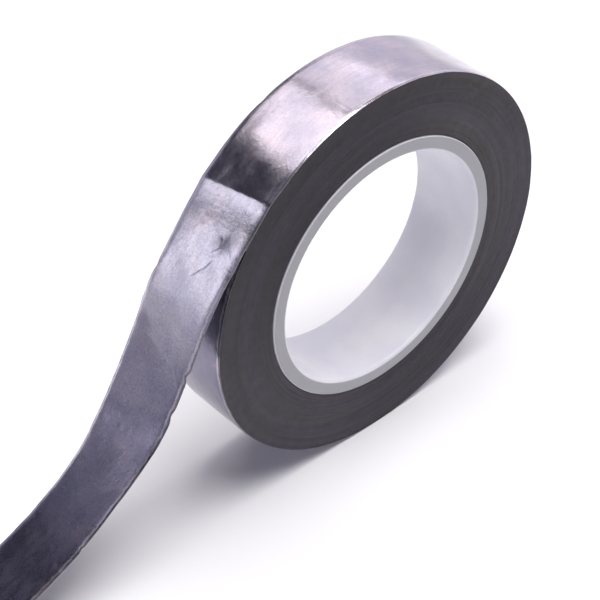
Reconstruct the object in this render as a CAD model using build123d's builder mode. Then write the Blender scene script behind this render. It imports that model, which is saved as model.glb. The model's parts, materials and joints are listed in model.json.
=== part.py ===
"""Copper foil tape roll: a tinned foil strip with adhesive and a release liner, wound on a plastic core.

Frame: +Y runs along the bore, +Z is up, the origin is at the middle of the bore. The roll stands on its rim.
Its loose end, the leader, leaves the upper left of the roll and comes down to the ground on the -X side.
The plies are real solids at real thickness, each in one spiral from the core to the line where the leader
starts to flex. Beyond that line the strip is cut at its flex lines, because a strip bends there.
"""

from build123d import *

import math
import os

# --- driving dimensions, in millimetres and degrees ---------------------------------------------------------

STRIP_WIDTH = 25.0
FOIL_THICKNESS = 0.05
ADHESIVE_THICKNESS = 0.04
LINER_THICKNESS = 0.11

CORE_BORE_RADIUS = 38.1
CORE_WALL = 4.8
CORE_LENGTH = 26.0
CORE_INNER_ROUND = 1.2
CORE_OUTER_ROUND = 0.4

TACK_THICKNESS = 0.1
TACK_WIDTH = 19.0
TACK_ANGLE = 40.0

FULL_TURNS = 97
LEAVE_ANGLE = 148.0

ROOT_LENGTH = 8.0
UPPER_LENGTH = 40.7
CURVE_RADIUS = 96.4
CURVE_ANGLE = 37.0
TAB_LENGTH = 18.0
FLEX_GAP = 0.3
GROUND_CLEARANCE = 0.05

# --- worked-out dimensions ----------------------------------------------------------------------------------

CORE_RADIUS = CORE_BORE_RADIUS + CORE_WALL
PITCH = FOIL_THICKNESS + ADHESIVE_THICKNESS + LINER_THICKNESS
START_RADIUS = CORE_RADIUS + TACK_THICKNESS
LAST_RADIUS = START_RADIUS + FULL_TURNS * PITCH
GROUND = -(LAST_RADIUS + PITCH / 2)

# Each ply lies between two heights above the strip's inner side, the one that faces the core.
LINER = (0.0, LINER_THICKNESS)
ADHESIVE = (LINER_THICKNESS, LINER_THICKNESS + ADHESIVE_THICKNESS)
FOIL = (LINER_THICKNESS + ADHESIVE_THICKNESS, PITCH)
PLIES = (("liner", LINER), ("adhesive", ADHESIVE), ("foil", FOIL))

# The leader's stations on the strip's inner side, in the plane across the bore: X, then height.
OUTWARD = Vector(math.cos(math.radians(LEAVE_ANGLE)), math.sin(math.radians(LEAVE_ANGLE)))
HEADING = Vector(-OUTWARD.Y, OUTWARD.X)
LEAVE_POINT = OUTWARD * LAST_RADIUS
ROOT_END = LEAVE_POINT + HEADING * ROOT_LENGTH
UPPER_END = ROOT_END + HEADING * UPPER_LENGTH
CURVE_CENTRE = UPPER_END + OUTWARD * CURVE_RADIUS
END_OUTWARD = OUTWARD.rotate(Axis.Z, -CURVE_ANGLE)
END_HEADING = HEADING.rotate(Axis.Z, -CURVE_ANGLE)
CURVE_END = CURVE_CENTRE - END_OUTWARD * CURVE_RADIUS
END_REACH = (GROUND + GROUND_CLEARANCE - CURVE_END.Y) / END_HEADING.Y
TAB_END = CURVE_END + END_HEADING * END_REACH
TAB_START = TAB_END - END_HEADING * TAB_LENGTH


def write(piece, name):
    """Label one finished piece and write its file."""
    piece.part.label = name
    export_step(piece.part, f"parts/{name}.step")


# --- the wound strip ----------------------------------------------------------------------------------------


def winding_arcs(height):
    """Half-turn arcs of the wound strip at one height, from the core outwards.

    Even half turns are centred on the bore and odd ones half a pitch beside it, so the strip climbs by one
    pitch in each turn and stays tangent where the arcs meet.
    """
    for half_turn in range(2 * FULL_TURNS):
        centre = (0.0, 0.0) if half_turn % 2 == 0 else (PITCH / 2, 0.0)
        start_angle = 0.0 if half_turn % 2 == 0 else 180.0
        CenterArc(centre, START_RADIUS + half_turn * PITCH / 2 + height, start_angle, 180.0)
    CenterArc((0.0, 0.0), LAST_RADIUS + height, 0.0, LEAVE_ANGLE)


def wound_ply(name, ply):
    """One ply of the wound strip, from its start on the core to the leader's first flex line."""
    low, high = ply
    stop = ROOT_END - HEADING * FLEX_GAP / 2
    with BuildPart() as wound:
        with BuildSketch(Plane.XZ):
            with BuildLine():
                winding_arcs(low)
                winding_arcs(high)
                Line((START_RADIUS + low, 0.0), (START_RADIUS + high, 0.0))
                Line(LEAVE_POINT + OUTWARD * low, stop + OUTWARD * low)
                Line(LEAVE_POINT + OUTWARD * high, stop + OUTWARD * high)
                Line(stop + OUTWARD * low, stop + OUTWARD * high)
            make_face()
        extrude(amount=STRIP_WIDTH / 2, both=True)
    write(wound, name)


# --- the leader ---------------------------------------------------------------------------------------------


def straight_ply(name, ply, start, end, heading, outward):
    """One ply of a straight stretch of the leader, between two stations."""
    low, high = ply
    first = start + heading * FLEX_GAP / 2
    last = end - heading * FLEX_GAP / 2
    with BuildPart() as stretch:
        with BuildSketch(Plane.XZ):
            with BuildLine():
                Polyline(
                    first + outward * low,
                    last + outward * low,
                    last + outward * high,
                    first + outward * high,
                    close=True,
                )
            make_face()
        extrude(amount=STRIP_WIDTH / 2, both=True)
    write(stretch, name)


def curved_ply(name, ply):
    """One ply of the leader's curved stretch, which is hollow on its foil side."""
    low, high = ply
    gap_angle = math.degrees(FLEX_GAP / 2 / CURVE_RADIUS)
    first_angle = LEAVE_ANGLE + 180.0 - gap_angle
    arc_angle = 2 * gap_angle - CURVE_ANGLE
    with BuildPart() as stretch:
        with BuildSketch(Plane.XZ):
            with BuildLine():
                foil_side = CenterArc(CURVE_CENTRE, CURVE_RADIUS - high, first_angle, arc_angle)
                core_side = CenterArc(CURVE_CENTRE, CURVE_RADIUS - low, first_angle, arc_angle)
                Line(foil_side @ 0, core_side @ 0)
                Line(foil_side @ 1, core_side @ 1)
            make_face()
        extrude(amount=STRIP_WIDTH / 2, both=True)
    write(stretch, name)


os.makedirs("parts", exist_ok=True)

# --- core ---------------------------------------------------------------------------------------------------

with BuildPart() as core_tube:
    with BuildSketch(Plane.XZ):
        Circle(CORE_RADIUS)
        Circle(CORE_BORE_RADIUS, mode=Mode.SUBTRACT)
    extrude(amount=CORE_LENGTH / 2, both=True)
    rims = core_tube.edges().filter_by(GeomType.CIRCLE).group_by(SortBy.RADIUS)
    fillet(rims[0], CORE_INNER_ROUND)
    fillet(rims[-1], CORE_OUTER_ROUND)
write(core_tube, "core_tube")

# The short piece of double-sided tape that holds the first turn on the core.
with BuildPart() as start_tack:
    with BuildSketch(Plane.XZ):
        with BuildLine():
            core_face = CenterArc((0.0, 0.0), CORE_RADIUS, 0.0, TACK_ANGLE)
            strip_face = CenterArc((0.0, 0.0), START_RADIUS, 0.0, TACK_ANGLE)
            Line(core_face @ 0, strip_face @ 0)
            Line(core_face @ 1, strip_face @ 1)
        make_face()
    extrude(amount=TACK_WIDTH / 2, both=True)
write(start_tack, "start_tack")

# --- strip: three plies, wound and then in the leader's three stretches -------------------------------------

for ply_name, ply in PLIES:
    foil_end = TAB_START if ply_name == "liner" else TAB_END
    wound_ply(f"wound_{ply_name}", ply)
    straight_ply(f"leader_upper_{ply_name}", ply, ROOT_END, UPPER_END, HEADING, OUTWARD)
    curved_ply(f"leader_lower_{ply_name}", ply)
    straight_ply(f"leader_end_{ply_name}", ply, CURVE_END, foil_end, END_HEADING, END_OUTWARD)

# The last stretch of the liner, which peels off the adhesive when the tape is used.
straight_ply("liner_tab", LINER, TAB_START, TAB_END, END_HEADING, END_OUTWARD)
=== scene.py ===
"""Foil tape roll: the strip that shows, the wound plies, the core's finish and a plain studio.

The CAD frame gives every size and place. +Y runs along the bore and +Z is up. The strip is described by three
lengths: along it from the line where it leaves the roll (less than nothing on the roll), across it from its
middle (less than nothing towards -Y), and a height above its inner side, the side that faces the core.
"""

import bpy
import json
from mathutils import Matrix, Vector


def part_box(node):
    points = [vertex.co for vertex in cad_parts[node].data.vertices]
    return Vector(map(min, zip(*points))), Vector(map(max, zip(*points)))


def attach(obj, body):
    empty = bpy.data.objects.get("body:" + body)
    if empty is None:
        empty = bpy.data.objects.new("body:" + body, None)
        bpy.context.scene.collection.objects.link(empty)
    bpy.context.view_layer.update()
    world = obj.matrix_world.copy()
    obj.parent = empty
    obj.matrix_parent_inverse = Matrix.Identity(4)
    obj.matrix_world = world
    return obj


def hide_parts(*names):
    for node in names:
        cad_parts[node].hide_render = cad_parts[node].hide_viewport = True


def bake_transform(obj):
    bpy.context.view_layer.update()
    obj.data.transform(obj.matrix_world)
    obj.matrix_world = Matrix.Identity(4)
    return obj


bl_info = {
    "name": "Foil tape roll",
    "version": (1, 0, 0),
    "blender": (4, 5, 0),
    "location": "View3D > Sidebar > Foil Tape",
    "description": "Builds the visible strip, windings, core finish and studio of a foil tape roll",
    "category": "Add Mesh",
}

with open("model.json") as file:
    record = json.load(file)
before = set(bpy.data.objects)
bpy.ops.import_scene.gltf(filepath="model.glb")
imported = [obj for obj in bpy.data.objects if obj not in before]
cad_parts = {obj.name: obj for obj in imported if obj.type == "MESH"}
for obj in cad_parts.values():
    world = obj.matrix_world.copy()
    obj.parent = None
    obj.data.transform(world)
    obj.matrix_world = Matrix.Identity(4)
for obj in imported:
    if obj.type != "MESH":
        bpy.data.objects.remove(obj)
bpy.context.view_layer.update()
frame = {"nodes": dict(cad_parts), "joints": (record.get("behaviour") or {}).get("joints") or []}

import json
import math

import bpy
import numpy as np
from bpy.props import FloatProperty, FloatVectorProperty, IntProperty, PointerProperty
from mathutils import Vector

MM = 0.001

# --- places and sizes read from the frame ---------------------------------------------------------

HINGES = {joint["name"]: Vector(joint["pos_m"]) for joint in frame["joints"]}
WOUND_LOW, WOUND_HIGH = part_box("wound_foil")
CORE_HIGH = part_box("core_tube")[1]
ROLL_RADIUS = WOUND_HIGH.x
CORE_RADIUS = CORE_HIGH.x
PACK_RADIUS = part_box("start_tack")[1].x
HALF_WIDTH = WOUND_HIGH.y
GROUND = WOUND_LOW.z


def direction(start, end):
    """Unit direction from one hinge to another."""
    return (HINGES[end] - HINGES[start]).normalized()


UPPER_HEADING = direction("leader_lift", "leader_bend")
END_HEADING = direction("tip_bend", "liner_peel")
LEAVE_ANGLE = math.atan2(-UPPER_HEADING.x, UPPER_HEADING.z)
CURVE_ANGLE = UPPER_HEADING.angle(END_HEADING)
CURVE_CHORD = (HINGES["tip_bend"] - HINGES["leader_bend"]).length
CURVE_RADIUS = CURVE_CHORD / 2 / math.sin(CURVE_ANGLE / 2)

BEND_AT = HINGES["leader_bend"].dot(UPPER_HEADING)
TIP_BEND_AT = BEND_AT + CURVE_RADIUS * CURVE_ANGLE
PEEL_AT = TIP_BEND_AT + (HINGES["liner_peel"] - HINGES["tip_bend"]).length
END_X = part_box("leader_end_foil")[0].x
STRIP_END = TIP_BEND_AT + (END_X - HINGES["tip_bend"].x) / END_HEADING.x
FLOOR_AT = -(LEAVE_ANGLE + math.pi / 2) * ROLL_RADIUS


# --- sizes and colours that a user may change -----------------------------------------------------


def length(name, description, default):
    """A length property, in metres."""
    return FloatProperty(name=name, description=description, default=default, min=0.0, precision=5,
                         subtype="DISTANCE", unit="LENGTH")


def colour(name, description, default):
    """A colour property."""
    return FloatVectorProperty(name=name, description=description, default=default, size=3, min=0.0, max=1.0,
                               subtype="COLOR")


def share(name, description, default):
    """A property between nothing and one."""
    return FloatProperty(name=name, description=description, default=default, min=0.0, max=1.0,
                         subtype="FACTOR")


class StripSizes(bpy.types.PropertyGroup):
    """Sizes of the wound strip."""

    foil: length("Foil", "Thickness of the tinned copper foil", 0.05 * MM)
    adhesive: length("Adhesive", "Thickness of the adhesive coat", 0.04 * MM)
    liner: length("Liner", "Thickness of the release liner", 0.11 * MM)
    turns: IntProperty(name="Turns", description="Full turns between the core and the outer turn", default=97)
    facets: IntProperty(name="Facets", description="Straight steps in one wound turn", default=120)
    telescoping: length("Telescoping", "How far single turns stand out sideways", 0.10 * MM)
    raised_turns: length("Raised turns", "How far the first turns stand out at the core", 0.22 * MM)
    twist: FloatProperty(name="Twist", description="Turn of the lower leader about its own length",
                         default=math.radians(10.0), subtype="ANGLE", unit="ROTATION")


class StripFinish(bpy.types.PropertyGroup):
    """Colours and gloss of the strip and the core."""

    tin: colour("Tin", "Tin plating, in its greyer places", (0.60, 0.585, 0.67))
    tin_warm: colour("Warm tin", "Tin plating where it is burnished", (0.80, 0.745, 0.79))
    copper: colour("Copper", "Copper that shows where the plating is worn", (0.62, 0.33, 0.27))
    # Painted shade: this colour is multiplied into the plating down the leader and on the lower roll, in
    # place of darker reflections there.
    shade_colour: colour("Shade", "What dull plating keeps of the tin's colour", (0.30, 0.296, 0.37))
    tin_roughness: share("Tin roughness", "Roughness of untouched plating", 0.14)
    handled_roughness: share("Handled roughness", "Roughness of the pulled-out strip", 0.23)
    edge_metal: colour("Cut edge", "The foil's slit edges in the pack", (0.135, 0.13, 0.148))
    liner_face: colour("Liner", "Face of the release liner", (0.20, 0.195, 0.215))
    # Partly dust and partly painted shade: the liner's slit edges are made this dark.
    liner_edge: colour("Liner edge", "Slit edge of the release liner", (0.040, 0.038, 0.045))
    adhesive: colour("Adhesive", "Adhesive coat", (0.13, 0.11, 0.10))
    core: colour("Core", "Plastic of the core", (0.76, 0.76, 0.79))


class StudioLight(bpy.types.PropertyGroup):
    """Floor and lights."""

    floor: colour("Floor", "Colour of the floor", (0.90, 0.90, 0.91))
    key_glow: FloatProperty(name="Key", description="Brightness of the overhead light", default=7.6, min=0.0)
    panel_glow: FloatProperty(name="Panels", description="Brightness of the panels", default=1.0, min=0.0)
    room: FloatProperty(name="Room", description="Brightness of the room", default=1.0, min=0.0)


# --- the strip's shape ----------------------------------------------------------------------------

PATH_STEP = 0.1 * MM
BEND_EASE = 14.0 * MM
TWIST_FROM, TWIST_FULL = 52 * MM, 82 * MM
UNTWIST_FROM, UNTWIST_DONE = 112 * MM, 148 * MM
STANDING_REACH = 12 * MM
CROWN_DROP, CROWN_REACH = 0.30 * MM, 0.8 * MM

# Where the strip was folded as it was pulled off the roll: the fold's place at the middle of the strip, how
# much it slants, and how far the strip stands clear on each side of it.
FOLD_AT = -14.0 * MM
FOLD_SLANT = 0.16
FOLD_REACH = 7.7 * MM
FOLD_SHARPNESS = 0.25 * MM

# Below the fold the strip bows outwards: where it does so, and how far.
BOW_FROM, BOW_TOP, BOW_TO = -13.0 * MM, 15.0 * MM, 60.0 * MM
BOW_RISE = 2.3 * MM

# Angle at which the whole strip, not only its foil, starts to stand off the roll, and the angle at which the
# foil under the outer turn ends. Both are whole facets, so that the facets of all plies stay in step.
LIFTED_ANGLE = math.radians(126.0)
UNDER_FOIL_ANGLE = math.radians(147.0)
LIFTED_FROM = (LIFTED_ANGLE - LEAVE_ANGLE) * ROLL_RADIUS


def eased(value, start, end):
    """Nothing before start, one after end, and smooth between them."""
    part = np.clip((value - start) / (end - start), 0.0, 1.0)
    return part * part * (3.0 - 2.0 * part)


def inner_radius():
    """Radius of the strip's inner side where it leaves the roll."""
    sizes = bpy.context.scene.strip_sizes
    return WOUND_HIGH.x - sizes.foil - sizes.adhesive - sizes.liner


def wound_pitch():
    """What one turn adds to the radius."""
    turns = bpy.context.scene.strip_sizes.turns + LEAVE_ANGLE / math.tau
    return (inner_radius() - PACK_RADIUS) / turns


def leader_path():
    """Stations of the pulled-out strip: distance, X, Z and the angle of its outward normal."""
    along = np.arange(0.0, STRIP_END + 4 * MM, PATH_STEP)
    curving = eased(along, BEND_AT - BEND_EASE, BEND_AT + BEND_EASE)
    curving *= 1.0 - eased(along, TIP_BEND_AT - BEND_EASE, TIP_BEND_AT + BEND_EASE)
    turned = np.concatenate([[0.0], np.cumsum((curving[1:] + curving[:-1]) / 2 * PATH_STEP)])
    normal = LEAVE_ANGLE - CURVE_ANGLE * turned / (TIP_BEND_AT - BEND_AT)
    heading_x, heading_z = -np.sin(normal), np.cos(normal)
    x = np.concatenate([[0.0], np.cumsum((heading_x[1:] + heading_x[:-1]) / 2 * PATH_STEP)])
    z = np.concatenate([[0.0], np.cumsum((heading_z[1:] + heading_z[:-1]) / 2 * PATH_STEP)])
    radius = inner_radius()
    return along, x + radius * math.cos(LEAVE_ANGLE), z + radius * math.sin(LEAVE_ANGLE), normal


def strip_points(along, across, height):
    """Points of the strip, from arrays of the same shape: along, across and height."""
    stations, path_x, path_z, path_normal = leader_path()
    radius = inner_radius()
    wound_normal = LEAVE_ANGLE + along / radius
    wound_radius = radius + wound_pitch() * (wound_normal - LEAVE_ANGLE) / math.tau
    on_roll = along < 0.0
    normal = np.where(on_roll, wound_normal, np.interp(along, stations, path_normal))
    x = np.where(on_roll, wound_radius * np.cos(normal), np.interp(along, stations, path_x))
    z = np.where(on_roll, wound_radius * np.sin(normal), np.interp(along, stations, path_z))
    twist = bpy.context.scene.strip_sizes.twist * eased(along, TWIST_FROM, TWIST_FULL)
    twist = twist * (1.0 - eased(along, UNTWIST_FROM, UNTWIST_DONE))
    side = np.cos(twist) * across + np.sin(twist) * height
    out = np.cos(twist) * height - np.sin(twist) * across
    return np.stack([x + np.cos(normal) * out, side, z + np.sin(normal) * out], axis=-1)


def ripple(along, across, size, seed, stretch=1.0):
    """A smooth random field between nothing and one, with bumps about one size long."""
    table = np.random.RandomState(seed).rand(128, 128)
    a = along / size + 61.3
    b = across / (size * stretch) + 37.7
    i, j = np.floor(a).astype(int), np.floor(b).astype(int)
    p, q = a - i, b - j
    p, q = p**3 * (p * (6 * p - 15) + 10), q**3 * (q * (6 * q - 15) + 10)
    i, j, i2, j2 = i % 128, j % 128, (i + 1) % 128, (j + 1) % 128
    low = table[i, j] * (1 - p) + table[i2, j] * p
    high = table[i, j2] * (1 - p) + table[i2, j2] * p
    return low * (1 - q) + high * q


# Shallow dents and swellings left by fingers: along, across, half length, half width, rise, in millimetres.
DENTS = (
    (-47.0, -7.0, 5.0, 4.5, 0.16),
    (-32.0, 5.5, 5.0, 3.5, 0.20),
    (-15.0, -10.5, 3.5, 3.5, 0.09),
    (-60.0, 3.0, 9.0, 6.0, 0.15),
    (-1.5, -5.0, 2.2, 1.9, -0.18),
    (2.5, -7.0, 2.0, 2.5, 0.08),
    (3.0, 6.0, 6.0, 5.0, 0.15),
    (13.0, 8.0, 5.0, 4.0, -0.18),
    (21.0, 11.5, 6.0, 5.0, 0.45),
    (22.0, -1.0, 7.0, 6.0, 0.22),
    (30.0, 8.5, 3.0, 3.5, -0.32),
    (35.5, 5.5, 3.5, 5.0, -0.30),
    (40.0, 3.0, 6.0, 5.0, 0.26),
    (49.0, -9.0, 7.0, 4.0, 0.26),
    (57.0, 5.0, 6.0, 6.0, -0.25),
    (72.0, -3.0, 8.0, 7.0, 0.30),
    (90.0, 4.0, 9.0, 7.0, -0.25),
)

# Creases: along and across of both ends, half width and rise, in millimetres.
CREASES = (
    (5.0, -4.4, 8.5, -2.9, 0.40, -0.07),
    (8.0, -3.1, 11.8, -0.2, 0.45, -0.09),
    (-3.0, -3.6, 0.4, -5.6, 0.45, -0.05),
    (-1.0, -7.8, 2.4, -9.6, 0.40, 0.05),
    (0.8, -5.6, 3.4, -3.4, 0.35, 0.04),
    (64.5, 11.8, 62.0, 1.0, 1.10, 0.10),
    (62.0, 1.5, 60.5, -6.0, 1.20, 0.07),
    (34.0, 6.0, 37.5, -6.0, 0.70, -0.07),
    (-53.0, -2.0, -47.5, -11.0, 0.60, 0.035),
    (-50.0, -5.0, -49.5, -11.5, 0.30, -0.030),
    (-47.0, -6.0, -45.0, -11.5, 0.40, 0.030),
    (-36.0, 8.5, -39.0, 1.0, 0.60, 0.035),
    (17.0, 9.5, 24.0, 7.0, 0.40, 0.06),
    (37.0, -7.0, 42.0, -11.5, 0.50, 0.07),
    (82.0, 8.0, 86.0, 2.0, 0.90, 0.05),
    (104.0, -11.5, 101.0, -7.0, 0.60, 0.06),
)

# Nicks in the two edges: along, side, half length and depth, in millimetres.
NICKS = (
    (15.5, 1, 1.6, 0.45),
    (23.0, 1, 0.8, 0.50),
    (24.8, 1, 0.5, 0.30),
    (37.0, -1, 1.2, 0.55),
    (49.5, -1, 1.5, 0.45),
    (-38.5, 1, 1.0, 0.60),
    (70.0, 1, 1.0, 0.30),
    (95.0, -1, 0.9, 0.30),
)

# Dark patches on the plating: along, across and reach in millimetres, and how dark.
DARK_PATCHES = (
    (-1.5, -5.5, 5.0, 0.75),
    (-3.0, 9.0, 3.5, 0.25),
    (30.0, 8.5, 6.0, 0.60),
    (37.0, 5.5, 7.5, 0.60),
    (37.0, -9.5, 5.0, 0.35),
    (100.0, -1.0, 16.0, 0.30),
)


def crease(along, across, line):
    """One crease: a narrow ridge that fades towards both ends."""
    along_a, across_a, along_b, across_b, half_width, rise = (value * MM for value in line)
    run, cross = along_b - along_a, across_b - across_a
    long_squared = run * run + cross * cross
    part = ((along - along_a) * run + (across - across_a) * cross) / long_squared
    held = np.clip(part, 0.0, 1.0)
    away = np.hypot(along - along_a - held * run, across - across_a - held * cross)
    away = away + 0.8 * half_width * (ripple(along, across, 1.6 * MM, 31) - 0.35)
    return rise * np.exp(-((away / half_width) ** 2)) * np.sin(math.pi * np.clip(held, 0.03, 0.97)) ** 0.5


def handling(along, across):
    """How far the whole strip stands off its true line: the fold, dents, waves and curled edges."""
    fold = np.sqrt((along - FOLD_AT - FOLD_SLANT * across) ** 2 + FOLD_SHARPNESS**2)
    off = np.clip(FOLD_REACH - fold, 0.0, None) ** 2 / (2 * inner_radius())
    off = off + BOW_RISE * eased(along, BOW_FROM, BOW_TOP) * (1.0 - eased(along, BOW_TOP, BOW_TO))
    loose = eased(along, -4 * MM, 20 * MM) * (1.0 - 0.85 * eased(along, 120 * MM, 150 * MM))
    off = off + (0.05 + 0.30 * loose) * MM * ripple(along, across, 13 * MM, 3, 0.9)
    off = off + (0.02 + 0.10 * loose) * MM * ripple(along, across, 5.5 * MM, 4, 1.1)
    for dent in DENTS:
        at, over, half_length, half_width, rise = (value * MM for value in dent)
        off = off + rise * np.exp(-(((along - at) / half_length) ** 2) - ((across - over) / half_width) ** 2)
    for line in CREASES:
        off = off + crease(along, across, line)
    near = np.clip((-across - HALF_WIDTH + 3.6 * MM) / (3.6 * MM), 0.0, 1.3)
    far = np.clip((across - HALF_WIDTH + 2.4 * MM) / (2.4 * MM), 0.0, 1.3)
    curl = eased(along, -12 * MM, 6 * MM) * (1.0 - eased(along, 60 * MM, 120 * MM))
    off = off - curl * (0.28 * MM * near**2 + 0.20 * MM * far**2)
    wave = np.sin(along / (2.1 * MM) + 3 * ripple(along, across, 8 * MM, 8))
    off = off + loose * 0.05 * MM * wave * (near + far)
    on_roll = eased(-along, 0.0, 5 * MM)
    return np.where(on_roll > 0, np.maximum(off, -0.02 * MM + (1 - on_roll) * -1.0 * MM), off)


def crown(across):
    """The outer ply's rolled-off edges."""
    inside = np.clip(HALF_WIDTH - np.abs(across), 0.0, None)
    return CROWN_DROP * (1.0 - np.exp(-inside / CROWN_REACH))


def clear_of_floor(along):
    """Nothing where the roll stands on the floor, one elsewhere."""
    return 1.0 - np.exp(-(((along - FLOOR_AT) / STANDING_REACH) ** 2))


def wrinkles(along, across):
    """Fine relief of the foil's outer face."""
    worked = 0.35 + 0.65 * ripple(along, across, 17 * MM, 11)
    ridge = 1.0 - np.abs(2 * ripple(along, across, 2.3 * MM, 12, 1.3) - 1.0)
    fine = 1.0 - np.abs(2 * ripple(along, across, 1.2 * MM, 13) - 1.0)
    loose = 0.35 + 0.65 * eased(along, -14 * MM, 10 * MM)
    return loose * worked * MM * (0.020 * ridge**3 + 0.008 * fine**2)


def edge_offset(along, side):
    """How far one edge lies from its true line: slight wander and the nicks."""
    offset = 0.10 * MM * (ripple(along, along * 0.0 + side, 6 * MM, 21) - 0.5)
    offset = offset + 0.05 * MM * (ripple(along, along * 0.0 + side, 1.5 * MM, 22) - 0.5)
    for at, on, half_length, depth in NICKS:
        if on == side:
            offset = offset - depth * MM * np.exp(-(((along - at * MM) / (half_length * MM)) ** 2))
    return offset


def ply_points(along, part, low_or_high, foil_face, follows, margin):
    """Points of one face of a ply. part runs from minus one to one across the strip."""
    across = part * (HALF_WIDTH + margin)
    edge = np.where(part < 0, -edge_offset(along, -1), edge_offset(along, 1))
    across = across + edge * np.abs(part) ** 7
    relief = handling(along, across) + crown(across)
    if foil_face:
        relief = relief + wrinkles(along, across)
    height = low_or_high + relief * follows(along) * clear_of_floor(along)
    return strip_points(along, across, height)


def everywhere(along):
    """A ply that follows the strip's handling all along."""
    return np.ones_like(along)


def where_lifted(along):
    """A ply that lies flat on the roll and follows the strip's handling once the strip stands off it."""
    return eased(along, LIFTED_FROM, LIFTED_FROM + 2 * MM)


def face_normals(along, part, low_or_high, foil_face, follows, margin):
    """Outward normals of a ply's face, the same whichever piece a point is in."""
    step, step_part = 0.12 * MM, 0.006
    settings = (low_or_high, foil_face, follows, margin)
    run = ply_points(along + step, part, *settings) - ply_points(along - step, part, *settings)
    side = ply_points(along, part + step_part, *settings) - ply_points(along, part - step_part, *settings)
    normal = np.cross(side, run)
    return normal / np.linalg.norm(normal, axis=-1, keepdims=True)


def across_stations(count):
    """Places across the strip, closer together towards its edges."""
    part = np.linspace(-1.0, 1.0, count)
    return part * (1.0 + 0.22 * (1.0 - part**2))


def ply(name, start, end, step, low, high, foil_face=False, follows=everywhere, margin=0.0):
    """One stretch of one ply, as a closed thin mesh with a map of along and across."""
    rows = max(2, round((end - start) / step) + 1)
    line = np.linspace(start, end, rows)
    along, part = np.meshgrid(line, across_stations(COLUMNS), indexing="ij")
    faces = ((high, foil_face, follows, margin), (low, False, follows, margin))
    outer, inner = (ply_points(along, part, *face).reshape(-1, 3) for face in faces)
    outer_normal, inner_normal = (face_normals(along, part, *face).reshape(-1, 3) for face in faces)
    count = rows * COLUMNS
    index = np.arange(count).reshape(rows, COLUMNS)
    a, b = index[:-1, :-1], index[1:, :-1]
    c, d = index[1:, 1:], index[:-1, 1:]
    over = np.stack([a, d, c, b], axis=-1).reshape(-1, 4)
    under = np.stack([a, b, c, d], axis=-1).reshape(-1, 4) + count
    ring = np.concatenate([index[:-1, 0], index[-1, :-1], index[:0:-1, -1], index[0, :0:-1]])
    following = np.roll(ring, -1)
    rim = np.stack([ring, following, following + count, ring + count], axis=-1)
    quads = np.concatenate([over, under, rim])
    places = np.concatenate([outer, inner])
    made = bpy.data.meshes.new(name)
    made.from_pydata(places.tolist(), [], quads.tolist())
    mapped = np.stack([part * HALF_WIDTH + HALF_WIDTH, along], axis=-1).reshape(-1, 2)
    mapped = np.concatenate([mapped, mapped])
    corners = quads.reshape(-1)
    layer = made.uv_layers.new(name="strip")
    layer.data.foreach_set("uv", mapped[corners].astype(np.float32).ravel())
    made.polygons.foreach_set("use_smooth", np.ones(len(quads), bool))
    normals = np.concatenate([outer_normal, -inner_normal])[corners].reshape(-1, 4, 3)
    p, q, r = (places[rim[:, k]] for k in range(3))
    rim_normal = np.cross(q - p, r - p)
    rim_normal /= np.maximum(np.linalg.norm(rim_normal, axis=1, keepdims=True), 1e-12)
    normals[-len(rim):] = rim_normal[:, None, :]
    made.update()
    made.normals_split_custom_set(normals.reshape(-1, 3).tolist())
    made.validate(clean_customdata=False)
    piece = bpy.data.objects.new(name, made)
    bpy.context.scene.collection.objects.link(piece)
    return piece


# --- node building --------------------------------------------------------------------------------


def feed(tree, made, inputs):
    """Sets a node's inputs, by name or number, to values or to output sockets to link from."""
    for name, value in inputs.items():
        if isinstance(value, bpy.types.NodeSocket):
            tree.links.new(value, made.inputs[name])
        else:
            made.inputs[name].default_value = value


def node(tree, kind, inputs=None, **settings):
    """Adds a node, with its settings and inputs."""
    made = tree.nodes.new(kind)
    for name, value in settings.items():
        setattr(made, name, value)
    feed(tree, made, inputs or {})
    return made


def math_node(tree, operation, first, second=0.0, third=0.0):
    """A math node's output. Works in material and geometry trees."""
    inputs = {0: first, 1: second, 2: third}
    return node(tree, "ShaderNodeMath", inputs, operation=operation).outputs[0]


def times(tree, first, second):
    """Two values multiplied."""
    return math_node(tree, "MULTIPLY", first, second)


def times_plus(tree, first, second, third):
    """Two values multiplied, and a third added."""
    return math_node(tree, "MULTIPLY_ADD", first, second, third)


def apart(tree, first, second):
    """How far two values are apart."""
    return math_node(tree, "ABSOLUTE", math_node(tree, "SUBTRACT", first, second))


def vector_math(tree, operation, first, second):
    """A vector math node."""
    return node(tree, "ShaderNodeVectorMath", {0: first, 1: second}, operation=operation)


def separated(tree, vector):
    """The X, Y and Z of a vector."""
    return node(tree, "ShaderNodeSeparateXYZ", {0: vector}).outputs


def ranged(tree, value, low, high, to_low=0.0, to_high=1.0):
    """value, read between low and high, put out between to_low and to_high."""
    inputs = {"Value": value, "From Min": low, "From Max": high, "To Min": to_low, "To Max": to_high}
    return node(tree, "ShaderNodeMapRange", inputs, clamp=True).outputs["Result"]


def mixed(tree, factor, first, second, blend="MIX"):
    """A colour between two colours."""
    made = node(tree, "ShaderNodeMix", data_type="RGBA", blend_type=blend)
    numbers = {socket.identifier: number for number, socket in enumerate(made.inputs)}
    feed(tree, made, {numbers["Factor_Float"]: factor, numbers["A_Color"]: first, numbers["B_Color"]: second})
    return next(socket for socket in made.outputs if socket.identifier == "Result_Color")


def noise(tree, vector, scale, detail=3.0, roughness=0.55, **settings):
    """A noise texture's factor."""
    inputs = {"Vector": vector, "Scale": scale, "Detail": detail, "Roughness": roughness}
    return node(tree, "ShaderNodeTexNoise", inputs, **settings).outputs[0]


def stretched(tree, vector, scale):
    """vector with its axes scaled."""
    return node(tree, "ShaderNodeMapping", {"Vector": vector, "Scale": scale}).outputs[0]


def solid(value):
    """A colour with full alpha."""
    return (*value, 1.0)


def toned(value, tone):
    """A colour made lighter or darker, with full alpha."""
    return solid([part * tone for part in value])


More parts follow.
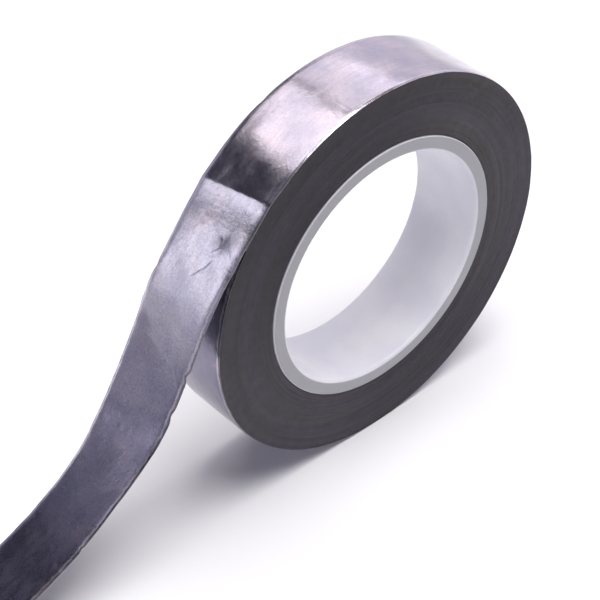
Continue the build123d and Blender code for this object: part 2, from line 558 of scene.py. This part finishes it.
def new_group(name, inputs, outputs):
    """An empty shader node group with named sockets."""
    tree = bpy.data.node_groups.new(name, "ShaderNodeTree")
    for kind, socket in inputs:
        tree.interface.new_socket(socket, in_out="INPUT", socket_type=kind)
    for kind, socket in outputs:
        tree.interface.new_socket(socket, in_out="OUTPUT", socket_type=kind)
    return tree, tree.nodes.new("NodeGroupInput"), tree.nodes.new("NodeGroupOutput")


def by_turns(tree, flat, around, outwards):
    """A place that changes slowly around the roll and fast from turn to turn, and the radius there."""
    radius = node(tree, "ShaderNodeVectorMath", {0: flat}, operation="LENGTH").outputs["Value"]
    slow = separated(tree, vector_math(tree, "MULTIPLY", flat, (around, around, around)).outputs[0])
    inputs = {0: slow["X"], 1: slow["Y"], 2: times(tree, radius, outwards)}
    return node(tree, "ShaderNodeCombineXYZ", inputs).outputs[0], radius


def turn_tint_group():
    """Soft colour and tone changes from turn to turn, by distance from the bore's axis."""
    known = bpy.data.node_groups.get("turn tint")
    if known:
        return known
    inputs = (("NodeSocketColor", "Colour"), ("NodeSocketFloat", "Strength"))
    outputs = (("NodeSocketColor", "Colour"), ("NodeSocketFloat", "Tone"))
    tree, given, result = new_group("turn tint", inputs, outputs)
    place = node(tree, "ShaderNodeTexCoord").outputs["Object"]
    parts = separated(tree, place)
    across_bore = node(tree, "ShaderNodeCombineXYZ", {0: parts["X"], 1: parts["Z"]}).outputs[0]
    banded = by_turns(tree, across_bore, 14.0, 420.0)[0]
    broad = noise(tree, banded, 1.0, 2.0)
    fine = noise(tree, vector_math(tree, "MULTIPLY", banded, (1.0, 1.0, 7.0)).outputs[0], 1.0, 2.0)
    hue = noise(tree, banded, 0.55, 1.0)
    tone = times_plus(tree, ranged(tree, broad, 0.35, 0.65), 0.55, ranged(tree, fine, 0.3, 0.7, 0.0, 0.45))
    tinted = mixed(tree, ranged(tree, hue, 0.38, 0.62), (0.95, 0.87, 1.0, 1.0), (1.0, 0.95, 0.90, 1.0))
    lightened = mixed(tree, tone, (0.62, 0.62, 0.66, 1.0), (1.30, 1.28, 1.28, 1.0))
    both = mixed(tree, 1.0, tinted, lightened, "MULTIPLY")
    changed = mixed(tree, 1.0, given.outputs["Colour"], both, "MULTIPLY")
    kept = mixed(tree, given.outputs["Strength"], given.outputs["Colour"], changed)
    feed(tree, result, {"Colour": kept, "Tone": tone})
    return tree


def fine_grain_group():
    """Fine mottled grain and sparse specks, for paper, adhesive and moulded plastic."""
    known = bpy.data.node_groups.get("fine grain")
    if known:
        return known
    inputs = (("NodeSocketVector", "Place"), ("NodeSocketFloat", "Scale"))
    outputs = (("NodeSocketFloat", "Mottle"), ("NodeSocketFloat", "Specks"), ("NodeSocketFloat", "Relief"))
    tree, given, result = new_group("fine grain", inputs, outputs)
    scale = given.outputs["Scale"]
    mottle = noise(tree, given.outputs["Place"], times(tree, scale, 0.12), 4.0)
    fine = noise(tree, given.outputs["Place"], scale, 5.0, 0.65)
    speck = noise(tree, given.outputs["Place"], times(tree, scale, 2.3), 0.0)
    specks = ranged(tree, speck, 0.70, 0.78)
    feed(tree, result, {"Mottle": ranged(tree, mottle, 0.3, 0.7), "Specks": specks, "Relief": fine})
    return tree


def new_material(name):
    """An empty material, its tree and its shader."""
    made = bpy.data.materials.new(name)
    made.use_nodes = True
    tree = made.node_tree
    tree.nodes.clear()
    shader = tree.nodes.new("ShaderNodeBsdfPrincipled")
    output = tree.nodes.new("ShaderNodeOutputMaterial")
    tree.links.new(shader.outputs["BSDF"], output.inputs["Surface"])
    return made, tree, shader


def grained(tree, place, scale):
    """The fine grain group's outputs at a place and scale."""
    inputs = {"Place": place, "Scale": scale}
    return node(tree, "ShaderNodeGroup", inputs, node_tree=fine_grain_group()).outputs


def link_bump(tree, shader, height, distance, strength=1.0):
    """Feeds a height into the shader's normal."""
    bump = node(tree, "ShaderNodeBump", {"Strength": strength, "Distance": distance, "Height": height})
    tree.links.new(bump.outputs["Normal"], shader.inputs["Normal"])


# --- materials ------------------------------------------------------------------------------------


def tinned_foil():
    """Tin-plated copper foil: rolling lines, burnish patches, fine crinkles, copper at worn edges, and
    painted shade and highlights.
    """
    finish = bpy.context.scene.strip_finish
    made, tree, shader = new_material("tinned foil")
    place = node(tree, "ShaderNodeUVMap", uv_map="strip").outputs[0]
    parts = separated(tree, place)
    across, along = parts["X"], parts["Y"]
    rolling = noise(tree, stretched(tree, place, (5200.0, 60.0, 1.0)), 1.0, 3.0)
    streaks = noise(tree, stretched(tree, place, (900.0, 45.0, 1.0)), 1.0, 4.0, 0.6)
    patches = noise(tree, place, 85.0, 4.0, 0.6)
    smears = noise(tree, stretched(tree, place, (170.0, 90.0, 1.0)), 1.0, 6.0, 0.7, noise_dimensions="2D")
    crinkles = noise(tree, place, 420.0, 5.0, 0.65)
    grain = noise(tree, place, 1500.0, 5.0, 0.7)
    cells = node(tree, "ShaderNodeTexVoronoi", {"Vector": place, "Scale": 260.0, "Randomness": 1.0},
                 feature="DISTANCE_TO_EDGE").outputs["Distance"]
    handled = ranged(tree, along, -0.018, 0.045)
    smear = ranged(tree, smears, 0.42, 0.70)

    # Plating: burnished patches and grey streaks, with painted shade down the leader and on the lower roll.
    tin = mixed(tree, ranged(tree, patches, 0.36, 0.66), solid(finish.tin), solid(finish.tin_warm))
    tin = mixed(tree, ranged(tree, streaks, 0.35, 0.75, 0.0, 0.30), tin, (0.50, 0.47, 0.58, 1.0))
    # Painted shade in place of darker reflections: it grows down the leader, grows a little more past 76 mm,
    # and is full on the lower roll.
    shading_reach = math_node(tree, "ADD", along, times(tree, math_node(tree, "SUBTRACT", patches, 0.5), 24 * MM))
    shaded = math_node(tree, "ADD", ranged(tree, shading_reach, 10 * MM, 42 * MM, 0.0, 0.86),
                     ranged(tree, along, 76 * MM, 100 * MM, 0.0, 0.10))
    shaded = math_node(tree, "MAXIMUM", shaded, ranged(tree, along, -0.30, -0.25, 1.0, 0.0))
    tin = mixed(tree, shaded, tin, mixed(tree, 1.0, tin, solid(finish.shade_colour), "MULTIPLY"))
    grain_tone = mixed(tree, ranged(tree, grain, 0.3, 0.7), (0.62, 0.62, 0.66, 1.0), (1.08, 1.08, 1.08, 1.0))
    grainy = mixed(tree, 1.0, tin, grain_tone, "MULTIPLY")
    tin = mixed(tree, times_plus(tree, handled, 0.7, 0.3), tin, grainy)

    # Edges: a painted highlight, a bright wavering line just inside each edge, and painted shade, a dark line
    # along the leader's edges.
    edge = apart(tree, across, HALF_WIDTH)
    wavering_edge_distance = times_plus(tree, crinkles, 1.4 * MM, math_node(tree, "SUBTRACT", edge, 0.7 * MM))
    off_line = apart(tree, wavering_edge_distance, HALF_WIDTH - 0.75 * MM)
    # Painted highlight: a bright line just inside each edge.
    edge_highlight = ranged(tree, off_line, 0.10 * MM, 0.45 * MM, 1.0, 0.0)
    edge_highlight_share = times(tree, edge_highlight, ranged(tree, streaks, 0.35, 0.65, 0.25, 0.90))
    tin = mixed(tree, edge_highlight_share, tin, (0.86, 0.83, 0.90, 1.0))
    # Painted shade: a dark line along the very edges of the leader.
    edge_shade = times(tree, ranged(tree, edge, HALF_WIDTH - 0.35 * MM, HALF_WIDTH - 0.1 * MM),
                    ranged(tree, along, 8 * MM, 30 * MM, 0.0, 0.65))
    tin = mixed(tree, edge_shade, tin, (0.16, 0.15, 0.18, 1.0))

    for spot_along, spot_across, reach, depth in DARK_PATCHES:
        centre = (HALF_WIDTH + spot_across * MM, spot_along * MM, 0.0)
        away = vector_math(tree, "DISTANCE", place, centre).outputs["Value"]
        uneven = times_plus(tree, smears, -0.9 * reach * MM, away)
        darkened = ranged(tree, uneven, -0.35 * reach * MM, 0.55 * reach * MM, depth, 0.0)
        tin = mixed(tree, darkened, tin, (0.20, 0.19, 0.24, 1.0))

    # Copper where the plating is worn, at the edges and on rubbed patches.
    worn_edge = ranged(tree, edge, HALF_WIDTH - 0.7 * MM, HALF_WIDTH)
    worn_patch = times(tree, ranged(tree, smears, 0.50, 0.64), worn_edge)
    rubbed = times(tree, ranged(tree, patches, 0.60, 0.74), ranged(tree, crinkles, 0.45, 0.6))
    copper_share = times(tree, math_node(tree, "MAXIMUM", worn_patch, rubbed), 0.42)
    plating = mixed(tree, copper_share, tin, solid(finish.copper))

    handled_more = finish.handled_roughness - finish.tin_roughness
    roughness = times_plus(tree, handled, handled_more, finish.tin_roughness)
    roughness = times_plus(tree, rolling, 0.07, times_plus(tree, smear, 0.10, roughness))
    feed(tree, shader, {"Base Color": plating, "Roughness": roughness, "Metallic": 1.0})
    folds = times(tree, ranged(tree, cells, 0.0, 0.10, 1.0, 0.0), smear)
    relief = times(tree, crinkles, times_plus(tree, handled, 1.1, 0.45))
    for height, share_of_it in ((folds, 0.22), (rolling, 0.06), (patches, 0.9)):
        relief = times_plus(tree, height, share_of_it, relief)
    relief = times_plus(tree, grain, times_plus(tree, handled, 0.22, 0.08), relief)
    link_bump(tree, shader, relief, 0.055 * MM)
    return made


def cut_edge(name, colour_of_edge, grain_scale, speck_share, speck_colour):
    """Slit edges in the pack, tinted from turn to turn: the material, its tree, shader, tone and grain."""
    made, tree, shader = new_material(name)
    inputs = {"Colour": solid(colour_of_edge), "Strength": 1.0}
    tint = node(tree, "ShaderNodeGroup", inputs, node_tree=turn_tint_group()).outputs
    place = node(tree, "ShaderNodeTexCoord").outputs["Object"]
    grain = grained(tree, place, grain_scale)
    worn = mixed(tree, times(tree, grain["Specks"], speck_share), tint["Colour"], speck_colour)
    feed(tree, shader, {"Base Color": worn})
    return made, tree, shader, tint["Tone"], grain


def foil_cut_edge():
    """The foil's slit edges in the pack: dark burnished metal."""
    edge_metal = bpy.context.scene.strip_finish.edge_metal
    speck_colour = (0.62, 0.52, 0.52, 1.0)
    made, tree, shader, tone, grain = cut_edge("foil cut edge", edge_metal, 2600.0, 0.4, speck_colour)
    feed(tree, shader, {"Roughness": ranged(tree, tone, 0.0, 1.0, 0.50, 0.34), "Metallic": 1.0})
    link_bump(tree, shader, grain["Relief"], 0.012 * MM)
    return made


def liner_cut_edge():
    """Wound release liner, seen as its slit edges: dark paper, its darkness partly dust and partly painted
    shade.
    """
    liner_edge = bpy.context.scene.strip_finish.liner_edge
    speck_colour = (0.30, 0.28, 0.28, 1.0)
    made, tree, shader, _, grain = cut_edge("liner cut edge", liner_edge, 3200.0, 0.30, speck_colour)
    feed(tree, shader, {"Roughness": ranged(tree, grain["Mottle"], 0.0, 1.0, 0.45, 0.62)})
    link_bump(tree, shader, grain["Relief"], 0.02 * MM)
    return made


def release_liner():
    """Glassine release liner: smooth calendered paper with faint fibres and a silicone gloss."""
    face = bpy.context.scene.strip_finish.liner_face
    made, tree, shader = new_material("release liner")
    place = node(tree, "ShaderNodeUVMap", uv_map="strip").outputs[0]
    grain = grained(tree, place, 1500.0)
    fibres = noise(tree, stretched(tree, place, (900.0, 240.0, 1.0)), 1.0, 5.0, 0.7)
    fibre_share = ranged(tree, fibres, 0.55, 0.75, 0.0, 0.35)
    paper = mixed(tree, grain["Mottle"], solid(face), toned(face, 0.86))
    paper = mixed(tree, fibre_share, paper, toned(face, 1.6))
    feed(tree, shader, {
        "Base Color": paper, "Roughness": ranged(tree, grain["Mottle"], 0.0, 1.0, 0.34, 0.46),
        "Coat Weight": 0.25, "Coat Roughness": 0.25})
    link_bump(tree, shader, math_node(tree, "ADD", grain["Relief"], fibres), 0.015 * MM)
    return made


def mottled(name, grain_scale, first, second, smoothest, roughest):
    """A material that is mottled between two colours and two roughnesses."""
    made, tree, shader = new_material(name)
    grain = grained(tree, node(tree, "ShaderNodeTexCoord").outputs["Object"], grain_scale)
    colours = mixed(tree, grain["Mottle"], first, second)
    roughness = ranged(tree, grain["Mottle"], 0.0, 1.0, smoothest, roughest)
    feed(tree, shader, {"Base Color": colours, "Roughness": roughness})
    link_bump(tree, shader, grain["Relief"], 0.02 * MM)
    return made


def adhesive_coat():
    """Acrylic adhesive: dark between the plies, with the faint orange peel of a rolled coat."""
    base = bpy.context.scene.strip_finish.adhesive
    return mottled("adhesive coat", 900.0, solid(base), toned(base, 1.6), 0.18, 0.32)


def tack_tissue():
    """Double-sided tissue tape: pale, fibrous and faintly glossy."""
    return mottled("tack tissue", 1100.0, (0.78, 0.76, 0.70, 1.0), (0.66, 0.63, 0.56, 1.0), 0.35, 0.5)


def core_plastic():
    """White extruded plastic, slightly translucent, with faint draw lines, a mottled skin, and painted shade
    on its end faces.
    """
    base = bpy.context.scene.strip_finish.core
    made, tree, shader = new_material("core plastic")
    place = node(tree, "ShaderNodeTexCoord").outputs["Object"]
    grain = grained(tree, place, 700.0)
    draw_lines = noise(tree, stretched(tree, place, (620.0, 9.0, 620.0)), 1.0, 3.0)
    haze = noise(tree, place, 55.0, 3.0)
    cooler = solid([value * tone for value, tone in zip(base, (0.90, 0.90, 0.94))])
    plastic = mixed(tree, ranged(tree, haze, 0.35, 0.65), solid(base), cooler)
    plastic = mixed(tree, times(tree, grain["Specks"], 0.15), plastic, (0.60, 0.60, 0.62, 1.0))
    end_on = math_node(tree, "ABSOLUTE", separated(tree, place)["Y"])
    # Painted shade: the end faces are darkened to 0.4 of the base colour.
    end_face_shade = ranged(tree, end_on, CORE_HIGH.y - 0.10 * MM, CORE_HIGH.y - 0.02 * MM, 0.0, 0.85)
    plastic = mixed(tree, end_face_shade, plastic, toned(base, 0.40))
    feed(tree, shader, {
        "Base Color": plastic, "Roughness": ranged(tree, draw_lines, 0.3, 0.7, 0.30, 0.44),
        "Subsurface Weight": 0.35, "Subsurface Radius": (0.9, 0.9, 1.0), "Subsurface Scale": 2.5 * MM})
    link_bump(tree, shader, times_plus(tree, draw_lines, 0.7, grain["Relief"]), 0.015 * MM)
    return made


def floor_paper():
    """Pale seamless paper."""
    stage = bpy.context.scene.studio_light
    made, tree, shader = new_material("floor paper")
    place = node(tree, "ShaderNodeTexCoord").outputs["Object"]
    paler = solid([min(1.0, value * 1.02) for value in stage.floor])
    paper = mixed(tree, noise(tree, place, 9.0, 2.0), solid(stage.floor), paler)
    feed(tree, shader, {"Base Color": paper, "Roughness": 0.8, "Specular IOR Level": 0.2})
    return made


def finished(piece, material):
    """Gives a piece its material."""
    piece.data.materials.clear()
    piece.data.materials.append(material)
    return piece


# --- wound plies by geometry nodes ----------------------------------------------------------------


RAISED_AT = CORE_RADIUS + 1.15 * MM
RAISED_REACH = 0.55 * MM
PLY_SEED = 4.0
# A hair more than whole facets, so that rounding doesn't cut the last one off.
FACET_SLACK = 0.01
# Widths of the wound plies: the adhesive is slit short of the foil, and the liner a trace wider.
LINER_WIDTH, ADHESIVE_WIDTH, FOIL_WIDTH = 25.06 * MM, 24.90 * MM, 25.0 * MM


def wound_ply_tree():
    """Geometry tree: one ply as a spiral ribbon, each turn shifted a little sideways, closed at both ends."""
    tree = bpy.data.node_groups.new("wound ply", "GeometryNodeTree")
    tree.interface.new_socket("Geometry", in_out="INPUT", socket_type="NodeSocketGeometry")
    for kind, name in (("Int", "Facets"), ("Float", "Turns"), ("Float", "First Radius"),
                       ("Float", "Last Radius"), ("Float", "Thickness"), ("Float", "Width"),
                       ("Float", "Telescoping"), ("Float", "Raised Radius"), ("Float", "Raised By"),
                       ("Float", "Seed"), ("Material", "Material")):
        tree.interface.new_socket(name, in_out="INPUT", socket_type=f"NodeSocket{kind}")
    tree.interface.new_socket("Geometry", in_out="OUTPUT", socket_type="NodeSocketGeometry")
    given = tree.nodes.new("NodeGroupInput").outputs
    result = tree.nodes.new("NodeGroupOutput")
    spiral = node(tree, "GeometryNodeCurveSpiral", {
        "Resolution": given["Facets"], "Rotations": given["Turns"], "Start Radius": given["First Radius"],
        "End Radius": given["Last Radius"], "Height": 0.0}).outputs["Curve"]
    upright = node(tree, "GeometryNodeSetCurveNormal", {"Curve": spiral}, mode="Z_UP").outputs["Curve"]
    section = node(tree, "GeometryNodeCurvePrimitiveQuadrilateral", {
        "Width": given["Thickness"], "Height": given["Width"]}, mode="RECTANGLE").outputs["Curve"]
    ribbon = node(tree, "GeometryNodeCurveToMesh", {
        "Curve": upright, "Profile Curve": section, "Fill Caps": True}).outputs["Mesh"]
    place = node(tree, "GeometryNodeInputPosition").outputs[0]
    flat = vector_math(tree, "MULTIPLY", place, (1.0, 1.0, 0.0)).outputs[0]
    by_turn, radius = by_turns(tree, flat, 16.0, 900.0)
    wander = node(tree, "ShaderNodeTexNoise", {
        "Vector": by_turn, "W": given["Seed"], "Scale": 1.0, "Detail": 2.0}, noise_dimensions="4D").outputs[0]
    centred = math_node(tree, "SUBTRACT", wander, 0.5)
    shift = times(tree, centred, times(tree, given["Telescoping"], 2.0))
    away = math_node(tree, "SUBTRACT", radius, given["Raised Radius"])
    away = math_node(tree, "DIVIDE", away, RAISED_REACH)
    ring = math_node(tree, "EXPONENT", times(tree, math_node(tree, "POWER", away, 2.0), -1.0))
    shift = times_plus(tree, ring, given["Raised By"], shift)
    offset = node(tree, "ShaderNodeCombineXYZ", {2: shift}).outputs[0]
    moved = node(tree, "GeometryNodeSetPosition", {"Geometry": ribbon, "Offset": offset}).outputs[0]
    turned = node(tree, "GeometryNodeTransform", {
        "Geometry": moved, "Rotation": (math.radians(90.0), 0.0, 0.0)}).outputs[0]
    realized = node(tree, "GeometryNodeRealizeInstances", {0: turned}).outputs[0]
    finished_mesh = node(tree, "GeometryNodeSetMaterial", {
        "Geometry": realized, "Material": given["Material"]}).outputs[0]
    tree.links.new(finished_mesh, result.inputs[0])
    return tree


def baked_from_nodes(name, tree, values):
    """The plain mesh that a geometry tree makes, as a new object."""
    holder = bpy.data.objects.new(name + "_maker", bpy.data.meshes.new(name + "_empty"))
    bpy.context.scene.collection.objects.link(holder)
    modifier = holder.modifiers.new("ply", "NODES")
    modifier.node_group = tree
    for item in tree.interface.items_tree:
        if item.in_out == "INPUT" and item.name in values:
            modifier[item.identifier] = values[item.name]
    evaluated = holder.evaluated_get(bpy.context.evaluated_depsgraph_get())
    made = bpy.data.meshes.new_from_object(evaluated)
    made.name = name
    holder.modifiers.clear()
    bpy.data.objects.remove(holder)
    piece = bpy.data.objects.new(name, made)
    bpy.context.scene.collection.objects.link(piece)
    return piece


# --- operators ------------------------------------------------------------------------------------


class FinishCore(bpy.types.Operator):
    """Give the core tube and its tack their plastic and tissue"""

    bl_idname = "foil_tape.core"
    bl_label = "Finish Core"

    def execute(self, context):
        for name, material, slot in (("core_tube", core_plastic(), "core_plastic"),
                                     ("start_tack", tack_tissue(), "adhesive")):
            finished(frame["nodes"][name], material)
        return {"FINISHED"}


class WindPlies(bpy.types.Operator):
    """Wind the foil, adhesive and liner of the pack, turn by turn"""

    bl_idname = "foil_tape.windings"
    bl_label = "Wind Plies"

    def execute(self, context):
        sizes = context.scene.strip_sizes
        tree = wound_ply_tree()
        turns_to_lift = sizes.turns + LIFTED_ANGLE / math.tau
        plies = (
            ("wound_liner_turns", 0.0, sizes.liner, LINER_WIDTH, turns_to_lift, liner_cut_edge(),
             "release_liner", "wound_liner"),
            ("wound_adhesive_turns", sizes.liner, sizes.adhesive, ADHESIVE_WIDTH, turns_to_lift,
             adhesive_coat(), "adhesive", "wound_adhesive"),
            ("wound_foil_turns", sizes.liner + sizes.adhesive, sizes.foil, FOIL_WIDTH,
             sizes.turns - 1 + UNDER_FOIL_ANGLE / math.tau, foil_cut_edge(), "tinned_foil", "wound_foil"),
        )
        for name, low, thick, width, turns, material, slot, node_name in plies:
            first = PACK_RADIUS + low + thick / 2
            turns = (round(turns * sizes.facets) + FACET_SLACK) / sizes.facets
            values = {
                "Facets": sizes.facets, "Turns": turns, "First Radius": first,
                "Last Radius": first + wound_pitch() * turns, "Thickness": thick * 0.98, "Width": width,
                "Telescoping": sizes.telescoping, "Raised Radius": RAISED_AT,
                "Raised By": sizes.raised_turns, "Seed": PLY_SEED, "Material": material,
            }
            piece = baked_from_nodes(name, tree, values)
            if len(piece.data.polygons) < sizes.turns * sizes.facets:
                raise RuntimeError(f"{name} has too few faces")
            finished(piece, material)
            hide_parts(node_name)
            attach(piece, "roll")
        return {"FINISHED"}


MIDDLE_OF_UPPER = 0.55 * BEND_AT
MIDDLE_OF_LOWER = 0.5 * (BEND_AT + TIP_BEND_AT)
TURN_GAP = 0.4 * MM
TURN_START = -((math.tau + LEAVE_ANGLE - UNDER_FOIL_ANGLE) * ROLL_RADIUS - TURN_GAP)

# Reaches along the strip that are handed on with each joint; no bend is made from them.
SOFT_REACH = 20 * MM
LIFT_REACH = 18 * MM
PEEL_REACH = 5 * MM
TAB_FROM = PEEL_AT - 3 * MM

# Points across the strip, and steps along it.
COLUMNS = 61
TURN_STEP, FOIL_STEP, BACKING_STEP, TAB_STEP = 0.62 * MM, 0.4 * MM, 0.8 * MM, 0.5 * MM
PLY_GAP = 0.002 * MM
ADHESIVE_MARGIN, LINER_MARGIN = -0.05 * MM, 0.06 * MM


def bend_between(piece, first, second, joint, before, after, heading):
    """Bakes a piece's placement into its mesh; it does not bend the piece."""
    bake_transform(piece)


def leader_stretches(first_start=0.0):
    """The leader's three stretches: name, start, end, and the bodies, joint, reaches and heading handed on
    for each.
    """
    return (
        ("root", first_start, MIDDLE_OF_UPPER,
         ("roll", "leader_upper", "leader_lift", 0.0, LIFT_REACH, UPPER_HEADING)),
        ("bend", MIDDLE_OF_UPPER, MIDDLE_OF_LOWER,
         ("leader_upper", "leader_lower", "leader_bend", SOFT_REACH, SOFT_REACH, UPPER_HEADING)),
        ("end", MIDDLE_OF_LOWER, STRIP_END,
         ("leader_lower", "leader_end", "tip_bend", SOFT_REACH, SOFT_REACH, END_HEADING)),
    )


STOOD_FOR = {"root": "leader_upper", "bend": "leader_lower", "end": "leader_end"}


class LayFoil(bpy.types.Operator):
    """Lay the outer turn of foil and the foil of the pulled-out leader"""

    bl_idname = "foil_tape.foil"
    bl_label = "Lay Foil"

    def execute(self, context):
        sizes = context.scene.strip_sizes
        low = sizes.liner + sizes.adhesive
        high = low + sizes.foil
        material = tinned_foil()
        outer = ply("foil_outer_turn", TURN_START, 0.0, TURN_STEP, low, high, foil_face=True)
        finished(outer, material)
        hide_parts("wound_foil")
        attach(outer, "roll")
        for name, start, end, bending in leader_stretches():
            piece = ply(f"foil_{name}", start, end, FOIL_STEP, low, high, foil_face=True)
            finished(piece, material)
            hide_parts(f"{STOOD_FOR[name]}_foil")
            bend_between(piece, *bending)
        return {"FINISHED"}


class CoatAdhesive(bpy.types.Operator):
    """Coat the leader's foil with adhesive"""

    bl_idname = "foil_tape.adhesive"
    bl_label = "Coat Adhesive"

    def execute(self, context):
        sizes = context.scene.strip_sizes
        low = sizes.liner + PLY_GAP
        high = sizes.liner + sizes.adhesive - PLY_GAP
        material = adhesive_coat()
        for name, start, end, bending in leader_stretches(LIFTED_FROM):
            piece = ply(f"adhesive_{name}", start, end, BACKING_STEP, low, high,
                        follows=where_lifted, margin=ADHESIVE_MARGIN)
            finished(piece, material)
            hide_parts(f"{STOOD_FOR[name]}_adhesive")
            bend_between(piece, *bending)
        return {"FINISHED"}


class LayLiner(bpy.types.Operator):
    """Lay the leader's release liner and the tab that peels off its end"""

    bl_idname = "foil_tape.liner"
    bl_label = "Lay Liner"

    def execute(self, context):
        sizes = context.scene.strip_sizes
        material = release_liner()
        for name, start, end, bending in leader_stretches(LIFTED_FROM):
            end = min(end, TAB_FROM)
            piece = ply(f"liner_{name}", start, end, BACKING_STEP, 0.0, sizes.liner,
                        follows=where_lifted, margin=LINER_MARGIN)
            finished(piece, material)
            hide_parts(f"{STOOD_FOR[name]}_liner")
            bend_between(piece, *bending)
        tab = ply("liner_tab_end", TAB_FROM, STRIP_END, TAB_STEP, 0.0, sizes.liner,
                  follows=where_lifted, margin=LINER_MARGIN)
        finished(tab, material)
        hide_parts("liner_tab")
        bend_between(tab, "leader_end", "liner_tab", "liner_peel", 0.0, PEEL_REACH, END_HEADING)
        return {"FINISHED"}


CAMERA_PLACE = Vector((-0.3050, -0.3165, 0.3631))
CAMERA_AZIMUTH = math.radians(-41.85)
CAMERA_ELEVATION = math.radians(41.14)
CAMERA_LENS = 115.78
SENSOR_WIDTH = 36.0
FLOOR_HALF = 7.0

# Soft panels: name, place, what they face, width, depth, radiance and tint.
PANELS = (
    ("left softbox", (-0.064, 0.23, 0.40), (-0.064, 0.23, 0.0), 0.28, 0.24, 1.45, (1.0, 0.92, 0.96)),
    ("right softbox", (0.26, 0.27, 0.40), (0.26, 0.27, 0.0), 0.31, 0.26, 1.05, (1.0, 0.92, 0.98)),
    ("low card", (-0.36, 0.19, 0.140), (-0.06, 0.0, 0.03), 0.15, 0.165, 1.02, (0.95, 0.94, 1.0)),
)


def area_light(name, place, target, width, depth, glow, tint):
    """A rectangular light that faces a point and isn't seen itself. glow is its radiance."""
    data = bpy.data.lights.new(name, "AREA")
    data.shape = "RECTANGLE"
    data.size, data.size_y = width, depth
    data.energy = glow * math.pi * width * depth
    data.color = tint
    light = bpy.data.objects.new(name, data)
    light.location = place
    light.rotation_mode = "QUATERNION"
    light.rotation_quaternion = (Vector(target) - Vector(place)).to_track_quat("-Z", "Y")
    light.visible_camera = False
    bpy.context.scene.collection.objects.link(light)
    return light


# Tones of the room by height above the horizon, as the upward part of a unit direction: height and tone.
ROOM_TONES = ((0.0, 0.85), (0.05, 0.62), (0.12, 0.36), (0.30, 0.45), (0.38, 0.56), (0.45, 0.24),
              (0.53, 0.03), (0.78, 0.03), (1.0, 0.22))


def studio_room(brightness):
    """Surroundings: a bright low sweep, a darker room above it, and a pale wall on the +X side."""
    room = bpy.data.worlds.new("studio room")
    room.use_nodes = True
    tree = room.node_tree
    tree.nodes.clear()
    parts = separated(tree, node(tree, "ShaderNodeTexCoord").outputs["Generated"])
    ramp = tree.nodes.new("ShaderNodeValToRGB")
    tree.links.new(parts["Z"], ramp.inputs[0])
    for number, (height, tone) in enumerate(ROOM_TONES):
        if number < 2:
            stop = ramp.color_ramp.elements[number]
            stop.position = height
        else:
            stop = ramp.color_ramp.elements.new(height)
        stop.color = (tone * 0.88, tone * 0.86, tone + 0.012, 1.0)
    sideways = ranged(tree, parts["X"], 0.30, 0.62)
    low_down = ranged(tree, parts["Z"], 0.55, 0.72, 1.0, 0.0)
    wall = times(tree, times(tree, sideways, low_down), 0.85)
    tone = mixed(tree, wall, ramp.outputs["Color"], (0.86, 0.80, 0.90, 1.0))
    light = node(tree, "ShaderNodeBackground", {"Color": tone, "Strength": brightness})
    output = tree.nodes.new("ShaderNodeOutputWorld")
    tree.links.new(light.outputs[0], output.inputs["Surface"])
    bpy.context.scene.world = room


class SetStage(bpy.types.Operator):
    """Set the floor, the soft lights and the camera"""

    bl_idname = "foil_tape.stage"
    bl_label = "Set Stage"

    def execute(self, context):
        light = context.scene.studio_light
        sheet = bpy.data.meshes.new("floor")
        corners = [(-1, -1), (1, -1), (1, 1), (-1, 1)]
        sheet.from_pydata([(x * FLOOR_HALF, y * FLOOR_HALF, GROUND) for x, y in corners], [], [(0, 1, 2, 3)])
        sheet.materials.append(floor_paper())
        floor = bpy.data.objects.new("floor", sheet)
        context.scene.collection.objects.link(floor)
        studio_room(light.room)
        area_light("overhead key", (0.18, -0.37, 3.04), (0.0, 0.0, 0.0), 2.07, 2.07, light.key_glow,
                   (1.0, 0.99, 0.98))
        for name, place, target, width, depth, glow, tint in PANELS:
            area_light(name, place, target, width, depth, glow * light.panel_glow, tint)
        lens = bpy.data.cameras.new("camera")
        lens.lens = CAMERA_LENS
        lens.sensor_width = SENSOR_WIDTH
        camera = bpy.data.objects.new("camera", lens)
        level = math.cos(CAMERA_ELEVATION)
        back = Vector((math.sin(CAMERA_AZIMUTH) * level, -math.cos(CAMERA_AZIMUTH) * level,
                       math.sin(CAMERA_ELEVATION)))
        camera.location = CAMERA_PLACE
        camera.rotation_mode = "QUATERNION"
        camera.rotation_quaternion = (-back).to_track_quat("-Z", "Y")
        context.scene.collection.objects.link(camera)
        context.scene.camera = camera
        context.scene.view_settings.view_transform = "Standard"
        return {"FINISHED"}


class FoilTapePanel(bpy.types.Panel):
    """Sidebar panel with the roll's sizes, finishes and building steps"""

    bl_label = "Foil Tape"
    bl_idname = "VIEW3D_PT_foil_tape"
    bl_space_type = "VIEW_3D"
    bl_region_type = "UI"
    bl_category = "Foil Tape"

    def draw(self, context):
        layout = self.layout
        scene = context.scene
        for group in (scene.strip_sizes, scene.strip_finish, scene.studio_light):
            box = layout.box()
            for name in group.__annotations__:
                box.prop(group, name)
        for operator in STEPS:
            layout.operator(operator.bl_idname)


STEPS = (FinishCore, WindPlies, LayFoil, CoatAdhesive, LayLiner, SetStage)
GROUPS = {"strip_sizes": StripSizes, "strip_finish": StripFinish, "studio_light": StudioLight}
CLASSES = (*GROUPS.values(), *STEPS, FoilTapePanel)


def register():
    for kind in CLASSES:
        bpy.utils.register_class(kind)
    for name, kind in GROUPS.items():
        setattr(bpy.types.Scene, name, PointerProperty(type=kind))


def unregister():
    for name in GROUPS:
        delattr(bpy.types.Scene, name)
    for kind in reversed(CLASSES):
        bpy.utils.unregister_class(kind)


def main():
    register()
    bpy.ops.foil_tape.core()
    bpy.ops.foil_tape.windings()
    bpy.ops.foil_tape.foil()
    bpy.ops.foil_tape.adhesive()
    bpy.ops.foil_tape.liner()
    bpy.ops.foil_tape.stage()


if __name__ == "__main__":
    main()
